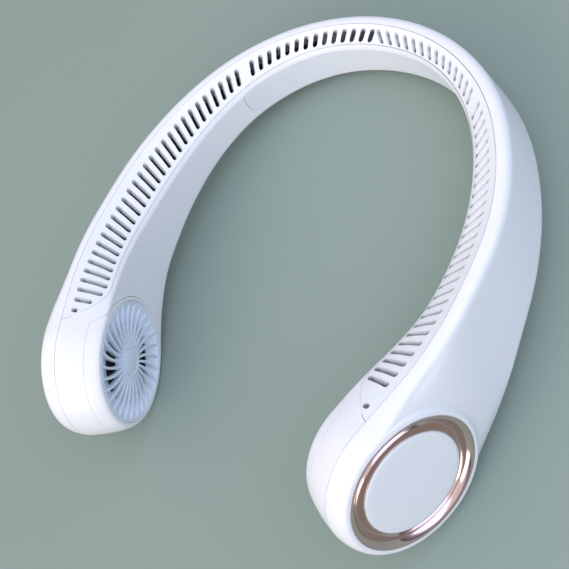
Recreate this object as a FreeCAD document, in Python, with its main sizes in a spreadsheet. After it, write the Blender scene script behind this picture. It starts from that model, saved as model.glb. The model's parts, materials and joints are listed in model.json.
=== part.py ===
import FreeCAD, Part
import math
import os
import re
import Sketcher

Vector = FreeCAD.Vector

# Electric neck fan: a hollow horseshoe band that lies round the neck, with a blower
# pod at each end. Air enters through the grilles on the inside of the pods and
# leaves through the slots along the top of the band.
#
# Frame: left is -X and right is +X, the pods point to -Y and the back of the band to
# +Y, +Z is up. The part lies as on a table, on both pods and the back of the band,
# and its origin is the middle of the bottom of its bounding box.

doc = FreeCAD.newDocument("neck_fan")
sheet = doc.addObject("Spreadsheet::Sheet", "sizes")

# Driving dimensions in millimetres and degrees, and counts.
DIMENSIONS = {
    # Plan of the band, along the ridge where the two shells meet on top
    "back_radius": 82.0,
    "back_sweep": 58.0,
    "side_radius": 107.0,
    "arm_straight": 12.0,
    "turn_radius": 125.0,
    "toe_in": 19.0,
    "pod_reach": 17.0,
    "arm_rise": 3.4,
    "flare": 8.2,
    # Section of the band, from the ridge: depth down, reach inwards and outwards
    "band_height": 29.5,
    "back_inner": 8.0,
    "arm_inner": 15.9,
    "band_outer": 4.9,
    "pod_blend_radius": 300.0,
    # Pods
    "pod_radius": 31.6,
    "pod_inner": 18.3,
    "pod_outer": 8.2,
    "cover_radius": 27.5,
    "cover_depth": 6.1,
    "cover_turn": 48.0,
    "cover_shoulder": 28.6,
    "cover_shoulder_turn": 64.0,
    # Walls and joints between the shells
    "wall": 1.8,
    "seam": 0.25,
    "strip_depth": 2.3,
    "strip_lap": 1.2,
    "strip_taper": 18.0,
    "strip_stop": 4.5,
    # Air slots
    "slot_pitch": 4.62,
    "slot_width": 2.3,
    "slot_start": 3.4,
    "back_slot_start": 1.7,
    "slot_edge": 1.5,
    "slot_gap": 8.1,
    "slot_least": 2.8,
    "slot_tilt": 33.0,
    "trough_depth": 4.0,
    "back_slots": 28,
    "arm_slots": 30,
    # Panel at the nape
    "panel_run": 74.5,
    "panel_top": 8.0,
    "panel_bottom": 22.5,
    "panel_corner": 4.6,
    "panel_thickness": 0.9,
    # Ring, disc and grille
    "ring_radius": 27.1,
    "ring_depth": 5.6,
    "ring_lip": 0.9,
    "ring_step": 24.2,
    "ring_step_depth": 2.0,
    "ring_curve": 4.0,
    "ring_floor": 1.2,
    "ring_hole": 15.0,
    "ring_collar": 0.4,
    "ring_gutter": 22.7,
    "ring_gutter_depth": 3.7,
    "disc_radius": 20.4,
    "disc_sink": 0.4,
    "disc_thickness": 2.0,
    "disc_skirt": 1.5,
    "disc_edge": 0.5,
    "seat_width": 5.2,
    "seat_thickness": 1.6,
    "grille_radius": 25.9,
    "grille_thickness": 1.8,
    "grille_rim": 1.3,
    "grille_hub": 7.3,
    "grille_root": 6.6,
    "grille_tip": 24.9,
    "grille_spoke": 0.9,
    "grille_spokes": 28,
    "grille_lean": 3.5,
    "grille_curve": 30.0,
    "collar_inner": 9.5,
    "collar_outer": 17.8,
    "collar_sink": 0.4,
    "collar_drop": 2.3,
    "collar_thickness": 0.7,
    "ledge_width": 1.4,
    "ledge_thickness": 1.2,
    "fit": 0.1,
    # Motor and impeller
    "mount_radius": 25.0,
    "mount_thickness": 1.8,
    "tube_radius": 3.6,
    "tube_length": 8.5,
    "tube_floor": 0.8,
    "shoulder": 1.0,
    "bush_radius": 2.4,
    "bush_sink": 0.3,
    "shaft_radius": 1.0,
    "running_fit": 0.03,
    "glue_gap": 0.05,
    "stator_radius": 9.6,
    "stator_core": 5.4,
    "stator_height": 5.0,
    "stator_lift": 1.6,
    "tooth_width": 1.6,
    "winding_width": 2.6,
    "winding_start": 6.2,
    "winding_end": 8.6,
    "winding_margin": 0.6,
    "stator_teeth": 9,
    "air_gap": 0.5,
    "magnet_thickness": 1.4,
    "cup_wall": 1.0,
    "cup_end": 1.2,
    "cup_clearance": 0.8,
    "wheel_radius": 24.5,
    "wheel_plate": 1.0,
    "blade_height": 11.0,
    "blade_root": 14.6,
    "blade_tip": 22.6,
    "blade_lean": 8.0,
    "blade_curve": 14.0,
    "blade_thickness": 0.8,
    "blades": 28,
    "shroud_width": 2.4,
    # Screws
    "screw_radius": 0.9,
    "screw_hole": 1.0,
    "screw_head_radius": 1.6,
    "screw_head": 1.1,
    "screw_length": 4.2,
    "screw_circle": 23.4,
    "mount_screws": 3,
    "screw_run": 30.0,
    "screw_drop": 15.2,
    "boss_radius": 2.8,
    "boss_length": 2.2,
    # Air partition, cells, board, socket, button and leads
    "floor_drop": 13.0,
    "floor_thickness": 1.2,
    "floor_run": 34.0,
    "floor_stop": 8.0,
    "seat_gap": 0.3,
    "cell_length": 46.0,
    "cell_height": 11.5,
    "cell_thickness": 6.5,
    "cell_corner": 1.5,
    "cell_reach": 5.7,
    "cell_run": 106.0,
    "board_length": 26.0,
    "board_height": 13.0,
    "board_thickness": 1.0,
    "board_reach": 5.5,
    "board_lift": 1.2,
    "chip_size": 5.0,
    "chip_height": 1.2,
    "chip_start": 3.0,
    "coil_size": 4.0,
    "coil_height": 2.0,
    "board_run": 152.0,
    "button_length": 9.0,
    "button_width": 5.0,
    "button_travel": 0.8,
    "button_proud": 0.6,
    "button_flange": 0.9,
    "button_along": 7.0,
    "button_rise": 3.2,
    "slide_fit": 0.15,
    "switch_size": 4.4,
    "switch_height": 1.9,
    "plunger_radius": 0.9,
    "light_radius": 1.1,
    "light_along": -1.5,
    "socket_width": 8.9,
    "socket_height": 3.2,
    "socket_length": 7.6,
    "socket_mouth": 5.5,
    "socket_wall": 0.35,
    "socket_inset": 0.4,
    "tongue_width": 6.0,
    "tongue_thickness": 0.8,
    "lead_radius": 0.8,
    "lead_drop": 22.0,
    "lead_reach": 1.3,
    "lead_lift": 1.0,
    "lead_bend": 5.0,
}
for row, (alias, amount) in enumerate(DIMENSIONS.items(), start=1):
    sheet.set(f"A{row}", alias)
    sheet.set(f"B{row}", str(amount))
    sheet.setAlias(f"B{row}", alias)
doc.recompute()


def size(alias):
    """A driving dimension, as the sheet holds it."""
    return float(sheet.get(alias))


def total(text):
    """Length of a sum such as "pod_outer + 2*wall", from the sheet."""
    result = 0.0
    sign = 1
    for word in text.split():
        if word in ("+", "-"):
            sign = 1 if word == "+" else -1
        else:
            factor, times, alias = word.rpartition("*")
            length = 0.0 if alias == "0" else size(alias)
            result += sign * length * (float(factor) if times else 1.0)
    return result


def bound(text):
    """The same sum as an expression on the sheet's cells."""
    return re.sub(r"[a-z_]+", r"sizes.\g<0>", text)


def smooth(value, start, end):
    """Goes smoothly from 0 at start to 1 at end."""
    share = min(max((value - start) / (end - start), 0.0), 1.0)
    return share * share * (3 - 2 * share)


def mix(first, second, share):
    return first + (second - first) * share


# The ridge of the band in plan: tangent arcs and straights from the middle of the
# back to the pod's axis, each as (radius or None, length).
back_turn = math.radians(size("back_sweep"))
side_turn = math.pi / 2 - back_turn
toe_in = math.radians(size("toe_in"))
flare = math.radians(size("flare"))
RIDGE = [
    (size("back_radius"), back_turn * size("back_radius")),
    (size("side_radius"), side_turn * size("side_radius")),
    (None, size("arm_straight")),
    (size("turn_radius"), toe_in * size("turn_radius")),
    (None, size("pod_reach")),
]
pod_run = sum(length for radius, length in RIDGE)
strip_end = pod_run - size("strip_stop")
pod_radius = size("pod_radius")
wall = size("wall")
SECTIONS = 48
STEPS = 20
# The arms' section is reached between these runs, and the pods' shapes between two
# distances from the pod's axis, in pod radii.
ARM_START = 20.0
ARM_END = 0.65 * pod_run
FALL_TO_POD = (2.2, 0.2)
INNER_TO_POD = (2.0, 0.5)
OUTER_TO_POD = (0.9, 0.0)
SWELL_TO_POD = (1.7, 0.75)
ROOM_TO_POD = (1.9, 0.95)


def ridge(run):
    """Plan point and heading of the ridge, run mm from the middle of the back."""
    x, y, heading, left = 0.0, 0.0, 0.0, abs(run)
    for radius, length in RIDGE:
        step = min(left, length)
        if radius is None:
            x += step * math.cos(heading)
            y -= step * math.sin(heading)
        else:
            end = heading + step / radius
            x += radius * (math.sin(end) - math.sin(heading))
            y -= radius * (math.cos(heading) - math.cos(end))
            heading = end
        left -= step
    return x, y, heading


def frame(run):
    """Ridge point with the section's outward and upward directions, which lean by the flare."""
    x, y, heading = ridge(run)
    side = -1 if run < 0 else 1
    rise = size("arm_rise") * smooth(abs(run), pod_run / 2, pod_run)
    out = Vector(side * math.sin(heading), math.cos(heading), 0)
    outward = out * math.cos(flare) + Vector(0, 0, math.sin(flare))
    upward = Vector(0, 0, math.cos(flare)) - out * math.sin(flare)
    return Vector(side * x, y, rise), outward, upward


def spot(run, reach, height):
    """Point of the band at a run, a reach outwards and a height above the ridge."""
    point, outward, upward = frame(run)
    return point + outward * reach + upward * height


def depth(run):
    """Depth of the band below its ridge: even at the back, then a fillet into the round pod."""
    blend = size("pod_blend_radius")
    height = size("band_height")
    away = pod_run - abs(run)
    centre = math.sqrt((pod_radius + blend) ** 2 - (height + blend - pod_radius) ** 2)
    if away <= centre * pod_radius / (pod_radius + blend):
        return pod_radius + math.sqrt(pod_radius ** 2 - away ** 2)
    if away < centre:
        return height + blend - math.sqrt(blend ** 2 - (centre - away) ** 2)
    return height


def armness(run):
    """0 at the back, 1 along the arms."""
    return smooth(abs(run), ARM_START, ARM_END)


def podness(run, between=FALL_TO_POD):
    """0 along the band, 1 at the pod."""
    start, end = between
    return smooth(abs(run), pod_run - start * pod_radius, pod_run - end * pod_radius)


def inner_reach(run):
    """How far the inner wall stands inside the ridge."""
    arm = mix(size("back_inner"), size("arm_inner"), armness(run))
    return mix(arm, size("pod_inner"), podness(run, INNER_TO_POD))


def outer_reach(run):
    """How far the outer wall stands outside the ridge."""
    return mix(size("band_outer"), size("pod_outer"), podness(run, OUTER_TO_POD))


def swell(run):
    """How far the middle of the outer wall bulges to come level with the ring."""
    level = mix(size("band_outer"), size("pod_outer"), podness(run, SWELL_TO_POD))
    return max(level - outer_reach(run), 0.0)


# How deep a half section has fallen at 0.35, 0.8 and all of its reach.
BACK_FALL = (1.2, 4.2, 7.2)
ARM_FALL = (2.4, 5.4, 9.0)
POD_FALL = (0.5, 2.3, 4.0)
LOW_FALL = (0.3, 1.4, 4.0)
OUTER_FALL = (0.1, 0.8, 2.6)
POD_OUTER_FALL = (0.2, 1.3, 2.9)
FALL_REACH = (0.35, 0.8)
FALL_STEP = 1.3


def blended(first, second, share):
    return [mix(a, b, share) for a, b in zip(first, second)]


def strip_fall(run):
    """Fall of the vent strip's surface."""
    return blended(blended(BACK_FALL, ARM_FALL, armness(run)), POD_FALL, podness(run))


def wall_curve(run, start, reach, top, bottom, top_fall, low_fall, bulge=0.0):
    """Half section from the ridge over a wall to the bottom: a smooth curve held by a few poles."""
    near, far = (start + share * (reach - start) for share in FALL_REACH)
    poles = [
        (start, -top),
        (near, -top - top_fall[0]),
        (far, -top - top_fall[1]),
        (reach, -top - top_fall[2]),
        (reach, -top - top_fall[2] - FALL_STEP),
        (reach + bulge / 2, -top - top_fall[2] - 2 * FALL_STEP),
        (reach + bulge, -(top + bottom) / 2),
        (reach + bulge / 2, -bottom + low_fall[2] + 2 * FALL_STEP),
        (reach, -bottom + low_fall[2] + FALL_STEP),
        (reach, -bottom + low_fall[2]),
        (far, -bottom + low_fall[1]),
        (near, -bottom + low_fall[0]),
        (start, -bottom),
    ]
    points = [spot(run, out, up) for out, up in poles]
    spans = len(points) - 3
    knots = [index / spans for index in range(spans + 1)]
    multiplicities = [4] + [1] * (spans - 1) + [4]
    curve = Part.BSplineCurve()
    curve.buildFromPolesMultsKnots(points, multiplicities, knots, False, 3)
    return curve


def inner_curve(run, start=0.0, inset=0.0, reach=None):
    """Inner half section: sloping vent strip on top, inner wall, rounded bottom."""
    low_fall = blended(LOW_FALL, POD_FALL, podness(run))
    out = inset - inner_reach(run) if reach is None else -reach
    return wall_curve(run, start, out, inset, depth(run) - inset, strip_fall(run), low_fall)


def outer_curve(run, start=0.0, inset=0.0, reach=None):
    """Outer half section: rounded shoulder, flared wall, rounded bottom."""
    fall = blended(OUTER_FALL, POD_OUTER_FALL, podness(run, OUTER_TO_POD))
    bottom = depth(run) - inset
    if reach is None:
        return wall_curve(run, start, outer_reach(run) - inset, inset, bottom, fall, fall, swell(run))
    return wall_curve(run, start, reach, inset, bottom, fall, fall)


def evenly(start, end, count):
    return [mix(start, end, index / count) for index in range(count + 1)]


def lofted(wires):
    return Part.makeLoft(wires, True, False)


def closed_wire(edges):
    closing = Part.makeLine(edges[-1].lastVertex().Point, edges[0].firstVertex().Point)
    return Part.Wire(edges + [closing])


def pod_centre(side):
    """Centre of a pod on the parting plane."""
    return spot(side * pod_run, 0, -pod_radius)


def turned_end(side, wire, angle=180):
    """Front of a pod: the upper half of the band's last section, turned about the pod's axis."""
    outward = frame(side * pod_run)[1]
    return Part.Face(wire).revolve(pod_centre(side), outward, side * angle)


def upper_half(curve):
    half = curve.copy()
    half.segment(0.0, 0.5)
    return half


def half_band(curve_at, start, angle):
    """Solid half of the band and its pods, on one side of the parting plane."""
    runs = evenly(-pod_run, pod_run, SECTIONS)
    solid = lofted([closed_wire([curve_at(run, start).toShape()]) for run in runs])
    ends = []
    for side in (1, -1):
        half = upper_half(curve_at(side * pod_run, start))
        foot = spot(side * pod_run, start, -pod_radius)
        across = Part.makeLine(half.EndPoint, foot)
        ends.append(turned_end(side, closed_wire([half.toShape(), across]), angle))
    return solid.fuse(ends)


def inner_room(run):
    """How far the space inside reaches inwards from the ridge."""
    return inner_reach(run) - mix(wall, total("grille_thickness + ledge_thickness"), podness(run))


def outer_room(run):
    """How far the space inside reaches outwards from the ridge."""
    arm = total("band_outer - wall")
    return mix(arm, total("pod_outer - ring_depth - seat_thickness"), podness(run, ROOM_TO_POD))


def hollow():
    """Space inside the two shells."""
    wires = []
    for run in evenly(-pod_run, pod_run, SECTIONS):
        inner = inner_curve(run, 0.0, wall, inner_room(run))
        outer = outer_curve(run, 0.0, wall, outer_room(run))
        wires.append(Part.Wire([inner.toShape(), outer.toShape()]))
    solid = lofted(wires)
    ends = []
    for side in (1, -1):
        end = side * pod_run
        inner = upper_half(inner_curve(end, 0.0, wall, inner_room(end)))
        outer = upper_half(outer_curve(end, 0.0, wall, outer_room(end)))
        across = Part.makeLine(inner.EndPoint, outer.EndPoint)
        ends.append(turned_end(side, Part.Wire([inner.toShape(), across, outer.toShape()])))
    return solid.fuse(ends)


def quad_loft(runs, corners_at):
    """Solid swept along the band through a four-cornered section."""
    wires = []
    for run in runs:
        points = [spot(run, out, up) for out, up in corners_at(run)]
        wires.append(Part.makePolygon(points + points[:1]))
    return lofted(wires)


def pod_frame(side):
    """Placement of the things on a pod's axis: origin in the ring's plane, +Z inwards, +Y up."""
    point, outward, upward = frame(side * pod_run)
    inward = outward * -1
    turn = FreeCAD.Rotation(upward.cross(inward), upward, inward, "ZYX")
    return FreeCAD.Placement(pod_centre(side) + outward * size("pod_outer"), turn)


def band_frame(run, reach, height):
    """Placement inside the band: +X along it, +Y outwards, +Z up."""
    step = 1.0
    along = (spot(run + step, reach, height) - spot(run - step, reach, height)).normalize()
    outward = frame(run)[1]
    turn = FreeCAD.Rotation(along, outward, along.cross(outward), "XZY")
    return FreeCAD.Placement(spot(run, reach, height), turn)


def pod_cylinder(side, radius, near, far):
    """Cylinder on a pod's axis, between two depths from the ring's plane."""
    place = pod_frame(side)
    axis = place.Rotation.multVec(Vector(0, 0, 1))
    return Part.makeCylinder(radius, far - near, place.Base + axis * near, axis)


def stadium(length, width, height):
    """Plate with round ends, centred, from z 0 to its height."""
    radius = width / 2
    half = length / 2 - radius
    near_left, near_right = Vector(-half, -radius, 0), Vector(half, -radius, 0)
    far_left, far_right = Vector(-half, radius, 0), Vector(half, radius, 0)
    edges = [
        Part.makeLine(near_left, near_right),
        Part.Arc(near_right, Vector(length / 2, 0, 0), far_right).toShape(),
        Part.makeLine(far_right, far_left),
        Part.Arc(far_left, Vector(-length / 2, 0, 0), near_left).toShape(),
    ]
    return Part.Face(Part.Wire(edges)).extrude(Vector(0, 0, height))


def placed(solid, placement):
    copy = solid.copy()
    copy.Placement = placement.multiply(copy.Placement)
    return copy


# Vent strip: its inner edge follows the inner wall and curves over to the ridge at the pods.
TAPER_POWER = 2.6
TAPER_STEPS = 8
EDGE_FALL = 0.4
ABOVE = 6.0


def strip_edge(run):
    start = strip_end - size("strip_taper")
    past = max(abs(run) - start, 0.0) / size("strip_taper")
    return (inner_reach(run) - size("strip_lap")) * (1 - min(past, 1.0) ** TAPER_POWER)


def strip_low(run, reach):
    """Depth of the strip's underside at a reach inwards from the ridge."""
    fall = strip_fall(run)
    return mix(fall[1], fall[2], EDGE_FALL) * reach / inner_reach(run) + size("strip_depth")


def strip_zone(gap):
    """Space of the vent strip in the inner shell, drawn in by a gap."""
    seam = size("seam")

    def corners(run):
        edge = max(strip_edge(run) - gap, seam)
        low, ridge_low = gap - strip_low(run, edge), gap - strip_low(run, 0)
        return [(seam, ABOVE), (-edge, ABOVE), (-edge, low), (seam, ridge_low)]
    start = strip_end - size("strip_taper")
    ends = evenly(start, strip_end - gap, TAPER_STEPS)[1:]
    runs = [-run for run in reversed(ends)] + evenly(-start, start, 2 * STEPS) + ends
    return quad_loft(runs, corners)


def slot_begin(run):
    """Reach of a slot's end at the ridge."""
    return mix(size("back_slot_start"), size("slot_start"), armness(run))


def slot_end(run):
    """Reach of a slot's inner end."""
    return max(strip_edge(run) - size("slot_edge"), total("slot_start + slot_least"))


def trough_zone():
    """Space under the slots, through the ledge that carries the strip's inner edge."""
    lap = wall / 2

    def corners(run):
        start, end = size("slot_start"), slot_end(run)
        start_top, end_top = lap - strip_low(run, start), lap - strip_low(run, end)
        low = -strip_low(run, end) - size("trough_depth")
        return [(-start, start_top), (-end, end_top), (-end, low), (-start, low)]
    last = strip_end - size("strip_taper") / 2
    return quad_loft(evenly(-last, last, 2 * STEPS), corners)


def slot_runs():
    """Runs of the air slots: one group across the back and one along each arm."""
    pitch = size("slot_pitch")
    count = int(size("back_slots"))
    last = (count - 1) / 2 * pitch
    back = [index * pitch - last for index in range(count)]
    arm = [last + size("slot_gap") + index * pitch for index in range(int(size("arm_slots")))]
    return back + arm + [-run for run in arm]


def slot_cutter(run):
    """Cutter of one slot, from near the ridge to near the strip's inner edge. Going down it
    leans towards the pod on its side, against the stream of air."""
    tilt = size("slot_tilt")
    lean = math.radians(tilt)
    side = math.copysign(1, run)
    under = run + side * size("strip_depth") * math.tan(lean)
    start, end = slot_begin(run), slot_end(under)
    middle = (start + end) / 2
    top = size("strip_depth") - strip_low(run, middle)
    length = (strip_low(run, inner_reach(run)) + ABOVE) / math.cos(lean)
    blank = stadium(end - start, size("slot_width") * math.cos(lean), 2 * length)
    across = FreeCAD.Rotation(Vector(0, 0, 1), 90)
    blank.Placement = FreeCAD.Placement(Vector(0, 0, -length), across)
    turn = FreeCAD.Placement(Vector(), FreeCAD.Rotation(Vector(0, 1, 0), -side * tilt))
    return placed(blank, band_frame(run, -middle, top).multiply(turn))


# Inner cover of a pod: a round cap over the arm's end, with two shoulders from which it
# widens to the whole pod in front.
def cover_zone(side, gap):
    radius = size("cover_radius") - gap
    shoulder = size("cover_shoulder") - gap
    turn = math.radians(size("cover_turn"))
    lean = math.radians(size("cover_shoulder_turn"))
    outer = pod_radius + ABOVE
    near = total("pod_outer + pod_inner - cover_depth") + gap / 2
    far = total("pod_outer + pod_inner") + ABOVE

    def rim(reach, angle):
        return Vector(-side * reach * math.cos(angle), reach * math.sin(angle), 0)
    bend = (radius + shoulder) / 2, (turn + lean) / 2
    upper = [rim(shoulder, lean), rim(*bend), rim(radius, turn)]
    lower = [rim(radius, -turn), rim(bend[0], -bend[1]), rim(shoulder, -lean)]
    front = [
        Vector(0, -pod_radius, 0),
        Vector(0, -outer, 0),
        Vector(side * outer, -outer, 0),
        Vector(side * outer, outer, 0),
        Vector(0, outer, 0),
        Vector(0, pod_radius, 0),
    ]
    edges = [
        Part.Arc(*upper).toShape(),
        Part.Arc(upper[-1], rim(radius, 0), lower[0]).toShape(),
        Part.Arc(*lower).toShape(),
    ]
    edges += [Part.makeLine(a, b) for a, b in zip(lower[-1:] + front, front + upper[:1])]
    blank = Part.Face(Part.Wire(edges)).extrude(Vector(0, 0, far - near))
    blank.Placement = FreeCAD.Placement(Vector(0, 0, near), FreeCAD.Rotation())
    return placed(blank, pod_frame(side))


CORNER_STEPS = 6
CORNER_MOST = 0.9


def panel_zone(gap):
    """Rounded field of the nape panel on the inner wall, drawn in by a gap."""
    corner = size("panel_corner") - gap
    end = size("panel_run") - gap
    top = size("panel_top") + gap
    bottom = size("panel_bottom") - gap

    def corners(run):
        past = max(abs(run) - (end - corner), 0.0)
        drawn = corner - math.sqrt(max(corner ** 2 - past ** 2, 0.0))
        drawn = min(drawn, CORNER_MOST * corner)
        return [(0, -top - drawn), (-2 * size("arm_inner"), -top - drawn),
                (-2 * size("arm_inner"), -bottom + drawn), (0, -bottom + drawn)]
    ends = [end - corner + corner * math.sin(angle) for angle in evenly(0, math.pi / 2, CORNER_STEPS)]
    runs = [-run for run in reversed(ends)] + evenly(-end + corner, end - corner, STEPS)[1:-1] + ends
    return quad_loft(runs, corners)


def inner_core():
    """The inner half of the band, drawn in by the panel's thickness."""
    thickness = size("panel_thickness")
    reach = size("panel_run") + 3 * size("panel_corner")
    wires = []
    for run in evenly(-reach, reach, STEPS):
        wires.append(closed_wire([inner_curve(run, 0.0, thickness).toShape()]))
    return lofted(wires)


PIECES = {}


def piece(item, placement=FreeCAD.Placement()):
    """Keeps a sub-part with its place in the band's own frame."""
    PIECES[item.Label] = (item, placement)
    return item


def feature(label, solid):
    """A sub-part whose shape is worked out from the band's sections."""
    item = doc.addObject("Part::Feature", label)
    item.Label = label
    item.Shape = solid
    return item


def new_body(label):
    body = doc.addObject("PartDesign::Body", label)
    body.Label = label
    return body


def sketch_in(body, label, plane, lift=None):
    """Sketch on one of a body's own planes, lifted by a sum of sizes."""
    sketch = body.newObject("Sketcher::SketchObject", label)
    planes = body.Origin.OriginFeatures
    sketch.AttachmentSupport = [(next(item for item in planes if item.Role == plane), "")]
    sketch.MapMode = "FlatFace"
    if lift:
        sketch.setExpression("AttachmentOffset.Base.z", bound(lift))
    return sketch


def arc_between(start, stop, radius, way):
    """Arc from start to stop that turns left for way 1 and right for way -1."""
    chord = stop - start
    rise = math.sqrt(max(radius ** 2 - (chord.Length / 2) ** 2, 0.0))
    centre = (start + stop) * 0.5 + Vector(-chord.y, chord.x, 0).normalize() * rise * way
    first, last = (start, stop) if way > 0 else (stop, start)
    begin = math.atan2(first.y - centre.y, first.x - centre.x)
    end = math.atan2(last.y - centre.y, last.x - centre.x)
    if end <= begin:
        end += 2 * math.pi
    return Part.ArcOfCircle(Part.Circle(centre, Vector(0, 0, 1), radius), begin, end)


def draw(sketch, corners):
    """Closed outline whose corners are sums of sizes. A radius and a way start an arc."""
    spots = [Vector(total(corner[0]), total(corner[1]), 0) for corner in corners]
    ends = []
    for index, corner in enumerate(corners):
        start = spots[index]
        stop = spots[(index + 1) % len(spots)]
        if len(corner) == 2:
            sketch.addGeometry(Part.LineSegment(start, stop), False)
            ends.append((1, 2))
            continue
        radius, way = corner[2:]
        sketch.addGeometry(arc_between(start, stop, total(radius), way), False)
        ends.append((1, 2) if way > 0 else (2, 1))
        number = sketch.addConstraint(Sketcher.Constraint("Radius", index, total(radius)))
        sketch.setExpression(f"Constraints[{number}]", bound(radius))
    for index, corner in enumerate(corners):
        after = (index + 1) % len(corners)
        point = ends[index][0]
        joint = index, ends[index][1], after, ends[after][0]
        sketch.addConstraint(Sketcher.Constraint("Coincident", *joint))
        for kind, axis, text, length in (
            ("DistanceX", -2, corner[0], spots[index].x),
            ("DistanceY", -1, corner[1], spots[index].y),
        ):
            if text == "0":
                sketch.addConstraint(Sketcher.Constraint("PointOnObject", index, point, axis))
            else:
                number = sketch.addConstraint(Sketcher.Constraint(kind, -1, 1, index, point, length))
                sketch.setExpression(f"Constraints[{number}]", bound(text))


def turn_into(body, label, corners):
    """Turned feature about the body's Z axis, from corners (radius, height)."""
    sketch = sketch_in(body, label + "_profile", "XZ_Plane")
    draw(sketch, corners)
    turned = body.newObject("PartDesign::Revolution", label)
    turned.Profile = sketch
    turned.ReferenceAxis = (sketch, ["V_Axis"])
    turned.Angle = 360
    return turned


def turned_body(label, corners):
    body = new_body(label)
    turn_into(body, label + "_turned", corners)
    return body


def pad_into(body, label, corners, length, lift=None, plane="XY_Plane"):
    sketch = sketch_in(body, label + "_outline", plane, lift)
    draw(sketch, corners)
    solid = body.newObject("PartDesign::Pad", label)
    solid.Profile = sketch
    solid.setExpression("Length", bound(length))
    return solid


def hole_into(body, label, radius, across, length, lift):
    """Round hole beside the axis, cut downwards from a height."""
    sketch = sketch_in(body, label + "_outline", "XY_Plane", lift)
    sketch.addGeometry(Part.Circle(Vector(total(across), 0, 0), Vector(0, 0, 1), total(radius)), False)
    sketch.addConstraint(Sketcher.Constraint("PointOnObject", 0, 3, -1))
    number = sketch.addConstraint(Sketcher.Constraint("DistanceX", -1, 1, 0, 3, total(across)))
    sketch.setExpression(f"Constraints[{number}]", bound(across))
    number = sketch.addConstraint(Sketcher.Constraint("Radius", 0, total(radius)))
    sketch.setExpression(f"Constraints[{number}]", bound(radius))
    hole = body.newObject("PartDesign::Pocket", label)
    hole.Profile = sketch
    hole.setExpression("Length", bound(length))
    return hole


def repeat_around(body, item, count):
    around = body.newObject("PartDesign::PolarPattern", item.Label + "_around")
    around.Originals = [item]
    around.Axis = (item.Profile[0], ["N_Axis"])
    around.Angle = 360
    around.setExpression("Occurrences", bound(count))
    body.Tip = around
    return around


def block(length, width):
    """Centred rectangle as sums of sizes."""
    return [
        (f"0 - 0.5*{length}", f"0 - 0.5*{width}"),
        (f"0.5*{length}", f"0 - 0.5*{width}"),
        (f"0.5*{length}", f"0.5*{width}"),
        (f"0 - 0.5*{length}", f"0.5*{width}"),
    ]


def rounded(length, width, corner):
    """Centred rectangle with round corners."""
    left, right = f"0 - 0.5*{length}", f"0.5*{length}"
    low, high = f"0 - 0.5*{width}", f"0.5*{width}"
    return [
        (f"{left} + {corner}", low),
        (f"{right} - {corner}", low, corner, 1),
        (right, f"{low} + {corner}"),
        (right, f"{high} - {corner}", corner, 1),
        (f"{right} - {corner}", high),
        (f"{left} + {corner}", high, corner, 1),
        (left, f"{high} - {corner}"),
        (left, f"{low} + {corner}", corner, 1),
    ]


def screw(label, placement):
    """Pan-head screw: the head's underside at z 0, the shank downwards."""
    head = doc.addObject("Part::Cylinder", label + "_head")
    head.setExpression("Radius", bound("screw_head_radius"))
    head.setExpression("Height", bound("screw_head"))
    shank = doc.addObject("Part::Cylinder", label + "_shank")
    shank.setExpression("Radius", bound("screw_radius"))
    shank.setExpression("Height", bound("screw_length"))
    shank.setExpression("Placement.Base.z", bound("0 - screw_length"))
    whole = doc.addObject("Part::Fuse", label)
    whole.Base = head
    whole.Tool = shank
    whole.Placement = placement
    return whole


def screw_group(label, placements):
    group = doc.addObject("Part::Compound", label)
    group.Label = label
    numbered = enumerate(placements, start=1)
    group.Links = [screw(f"{label}_{number}", place) for number, place in numbered]
    return group


def low_frame(run, reach, rise):
    """Placement over the band's bottom: +X along the bottom, +Y outwards, +Z up from it."""
    step = 1.0
    behind, ahead = (spot(run + move, reach, -depth(run + move)) for move in (-step, step))
    along = (ahead - behind).normalize()
    outward = frame(run)[1]
    up = along.cross(outward)
    turn = FreeCAD.Rotation(along, outward, up, "XZY")
    return FreeCAD.Placement(spot(run, reach, -depth(run)) + up * rise, turn)


def tube_along(points, radius):
    """Round lead along straight runs joined by tangent arcs, each as large as its runs allow."""
    share = 0.45
    edges = []
    last = points[0]
    for before, corner, after in zip(points, points[1:], points[2:]):
        back = before - corner
        ahead = after - corner
        trim = share * min(back.Length, ahead.Length)
        back.normalize()
        ahead.normalize()
        start = corner + back * trim
        end = corner + ahead * trim
        middle = (back + ahead).normalize()
        half = math.acos(max(-1.0, min(1.0, back.dot(middle))))
        rounding = trim * math.tan(half)
        nearest = corner + middle * (trim / math.cos(half) - rounding)
        edges.append(Part.makeLine(last, start))
        edges.append(Part.Arc(start, nearest, end).toShape())
        last = end
    edges.append(Part.makeLine(last, points[-1]))
    path = Part.Wire(edges)
    ring = Part.Wire([Part.makeCircle(radius, points[0], points[1] - points[0])])
    return path.makePipeShell([ring], True, False)


# Depths on a pod's axis, from the ring's plane inwards
SEAT = "ring_depth - ring_floor"
MOUNT = "ring_depth + seat_thickness"
PLATE = MOUNT + " + mount_thickness"
WHEEL = PLATE + " + stator_lift"
CUP = PLATE + " + tube_length + cup_clearance"
MAGNET = "stator_radius + air_gap"
CUP_BORE = MAGNET + " + magnet_thickness + glue_gap"
GRILLE = "pod_outer + pod_inner - grille_thickness"


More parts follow.
